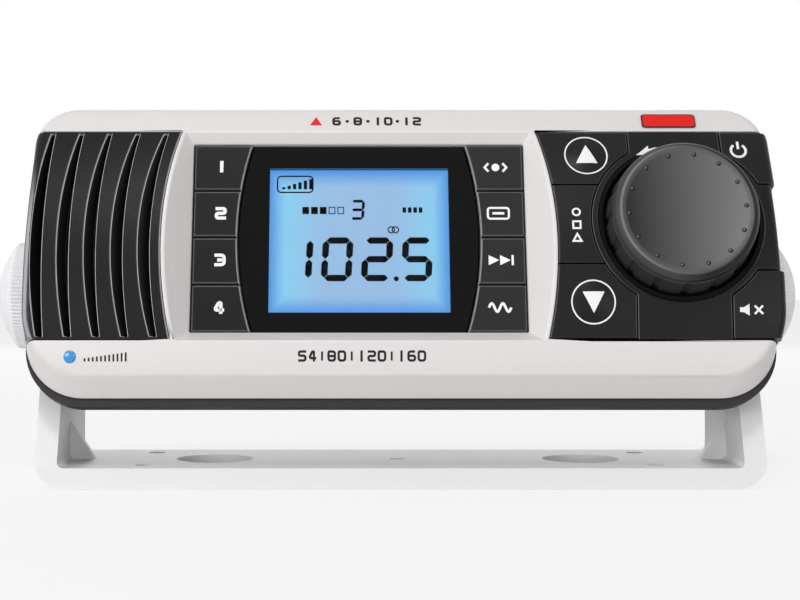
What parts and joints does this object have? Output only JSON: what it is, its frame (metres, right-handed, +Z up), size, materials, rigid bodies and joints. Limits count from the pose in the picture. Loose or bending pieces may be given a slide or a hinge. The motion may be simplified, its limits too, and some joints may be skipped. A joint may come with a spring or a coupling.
{
  "type": "marine stereo",
  "caption": "Marine stereo head with speaker panel, backlit display, keys and a volume knob, tilting in a U bracket between clamp knobs.",
  "frame": {"origin": "middle of the bracket's underside, at the lower end of its centre hole", "axes": "+Z up, +X to the right along the face, the front looks along -Y"},
  "size_m": [0.2018, 0.0742, 0.0908],
  "materials": {
    "bracket_white": "moulded white, semi-matt",
    "clamp_white": "moulded white, semi-matt",
    "bezel_white": "moulded white, semi-gloss",
    "housing_charcoal": "moulded charcoal, fine texture",
    "panel_black": "moulded black, satin",
    "key_black": "moulded black, satin, printed legends",
    "lens_black": "polished black with a clear window",
    "display_blue": "blue backlit display glass",
    "guide_clear": "clear acrylic",
    "frame_grey": "moulded dark grey",
    "board_green": "glass epoxy board with green mask",
    "switch_black": "moulded black",
    "well_black": "moulded black, satin",
    "encoder_metal": "bright steel",
    "screw_steel": "stainless steel",
    "knob_black": "moulded black, satin, turned top",
    "grip_rubber": "moulded black rubber",
    "seal_rubber": "black rubber",
    "basket_steel": "pressed steel, painted black",
    "cone_paper": "pressed paper",
    "magnet_ferrite": "ferrite ring",
    "spacer_brass": "turned brass",
    "can_steel": "tinned steel",
    "can_aluminium": "aluminium can",
    "chip_black": "moulded epoxy",
    "sink_aluminium": "black anodised aluminium",
    "socket_metal": "nickel plated",
    "socket_black": "moulded black",
    "badge_red": "red enamelled plate, bare"
  },
  "bodies": {
    "bracket": {"gimbal_bracket": "bracket_white"},
    "head": {"front_bezel": "bezel_white", "rear_housing": "housing_charcoal", "case_gasket": "seal_rubber", "casing_screws": "screw_steel", "speaker_grille": "panel_black", "speaker_gasket": "seal_rubber", "speaker_basket": "basket_steel", "speaker_cone": "cone_paper", "speaker_magnet": "magnet_ferrite", "speaker_screws": "screw_steel", "display_lens": "lens_black", "lcd_panel": "display_blue", "backlight_guide": "guide_clear", "keypad_frame": "frame_grey", "display_board": "board_green", "control_fascia": "panel_black", "control_board": "board_green", "tact_switches": "switch_black", "knob_well": "well_black", "encoder_body": "encoder_metal", "main_board": "board_green", "board_spacers": "spacer_brass", "board_screws": "screw_steel", "tuner_module": "can_steel", "wireless_module": "can_steel", "capacitors": "can_aluminium", "amplifier_chip": "chip_black", "heat_sink": "sink_aluminium", "heat_sink_screws": "screw_steel", "antenna_socket": "socket_metal", "power_inlet": "socket_black", "aux_socket": "socket_black", "line_out_sockets": "socket_black", "badge_plate": "badge_red", "pivot_inserts": "spacer_brass", "pivot_washers": "seal_rubber"},
    "volume": {"volume_knob": "knob_black", "knob_grip": "grip_rubber", "encoder_shaft": "screw_steel"},
    "left_clamp_slide": {"left_clamp_washer": "screw_steel"},
    "left_clamp": {"left_clamp_knob": "clamp_white", "left_clamp_stud": "screw_steel"},
    "right_clamp_slide": {"right_clamp_washer": "screw_steel"},
    "right_clamp": {"right_clamp_knob": "clamp_white", "right_clamp_stud": "screw_steel"},
    "preset_press_1": {"preset_key_1": "key_black"},
    "preset_press_2": {"preset_key_2": "key_black"},
    "preset_press_3": {"preset_key_3": "key_black"},
    "preset_press_4": {"preset_key_4": "key_black"},
    "select_press": {"select_key": "key_black"},
    "display_press": {"display_key": "key_black"},
    "scan_press": {"scan_key": "key_black"},
    "band_press": {"band_key": "key_black"},
    "up_press": {"up_key": "key_black"},
    "source_press": {"source_key": "key_black"},
    "down_press": {"down_key": "key_black"},
    "power_press": {"power_key": "key_black"},
    "mute_press": {"mute_key": "key_black"}
  },
  "joints": [
    {"name": "head_tilt", "type": "hinge", "parent": "bracket", "child": "head", "pos_m": [0, 0.0093, 0.0455], "axis": [-1, 0, 0], "range_deg": [-8, 60]},
    {"name": "left_clamp_travel", "type": "slide", "parent": "bracket", "child": "left_clamp_slide", "axis": [-1, 0, 0], "range_m": [0, 0.002]},
    {"name": "left_clamp_turn", "type": "hinge", "parent": "left_clamp_slide", "child": "left_clamp", "pos_m": [-0.0876, 0.0093, 0.0455], "axis": [-1, 0, 0], "range_deg": [0, 720]},
    {"name": "right_clamp_travel", "type": "slide", "parent": "bracket", "child": "right_clamp_slide", "axis": [1, 0, 0], "range_m": [0, 0.002]},
    {"name": "right_clamp_turn", "type": "hinge", "parent": "right_clamp_slide", "child": "right_clamp", "pos_m": [0.0876, 0.0093, 0.0455], "axis": [1, 0, 0], "range_deg": [0, 720]},
    {"name": "volume_turn", "type": "hinge", "parent": "head", "child": "volume", "pos_m": [0.0653, -0.02704, 0.06373], "axis": [0, -0.9598, 0.2807], "continuous": true},
    {"name": "preset_key_1_travel", "type": "slide", "parent": "head", "child": "preset_press_1", "axis": [0, 0.9598, -0.2807], "range_m": [0, 0.0008], "stiffness_N_per_m": 900, "springref_m": -0.0004},
    {"name": "preset_key_2_travel", "type": "slide", "parent": "head", "child": "preset_press_2", "axis": [0, 0.9598, -0.2807], "range_m": [0, 0.0008], "stiffness_N_per_m": 900, "springref_m": -0.0004},
    {"name": "preset_key_3_travel", "type": "slide", "parent": "head", "child": "preset_press_3", "axis": [0, 0.9598, -0.2807], "range_m": [0, 0.0008], "stiffness_N_per_m": 900, "springref_m": -0.0004},
    {"name": "preset_key_4_travel", "type": "slide", "parent": "head", "child": "preset_press_4", "axis": [0, 0.9598, -0.2807], "range_m": [0, 0.0008], "stiffness_N_per_m": 900, "springref_m": -0.0004},
    {"name": "select_key_travel", "type": "slide", "parent": "head", "child": "select_press", "axis": [0, 0.9598, -0.2807], "range_m": [0, 0.0008], "stiffness_N_per_m": 900, "springref_m": -0.0004},
    {"name": "display_key_travel", "type": "slide", "parent": "head", "child": "display_press", "axis": [0, 0.9598, -0.2807], "range_m": [0, 0.0008], "stiffness_N_per_m": 900, "springref_m": -0.0004},
    {"name": "scan_key_travel", "type": "slide", "parent": "head", "child": "scan_press", "axis": [0, 0.9598, -0.2807], "range_m": [0, 0.0008], "stiffness_N_per_m": 900, "springref_m": -0.0004},
    {"name": "band_key_travel", "type": "slide", "parent": "head", "child": "band_press", "axis": [0, 0.9598, -0.2807], "range_m": [0, 0.0008], "stiffness_N_per_m": 900, "springref_m": -0.0004},
    {"name": "up_key_travel", "type": "slide", "parent": "head", "child": "up_press", "axis": [0, 0.9598, -0.2807], "range_m": [0, 0.0008], "stiffness_N_per_m": 900, "springref_m": -0.0004},
    {"name": "source_key_travel", "type": "slide", "parent": "head", "child": "source_press", "axis": [0, 0.9598, -0.2807], "range_m": [0, 0.0008], "stiffness_N_per_m": 900, "springref_m": -0.0004},
    {"name": "down_key_travel", "type": "slide", "parent": "head", "child": "down_press", "axis": [0, 0.9598, -0.2807], "range_m": [0, 0.0008], "stiffness_N_per_m": 900, "springref_m": -0.0004},
    {"name": "power_key_travel", "type": "slide", "parent": "head", "child": "power_press", "axis": [0, 0.9598, -0.2807], "range_m": [0, 0.0008], "stiffness_N_per_m": 900, "springref_m": -0.0004},
    {"name": "mute_key_travel", "type": "slide", "parent": "head", "child": "mute_press", "axis": [0, 0.9598, -0.2807], "range_m": [0, 0.0008], "stiffness_N_per_m": 900, "springref_m": -0.0004}
  ],
  "couplings": [
    {"joint": "left_clamp_travel", "follows": "left_clamp_turn", "m_per_rad": 0.00015915},
    {"joint": "right_clamp_travel", "follows": "right_clamp_turn", "m_per_rad": 0.00015915}
  ]
}
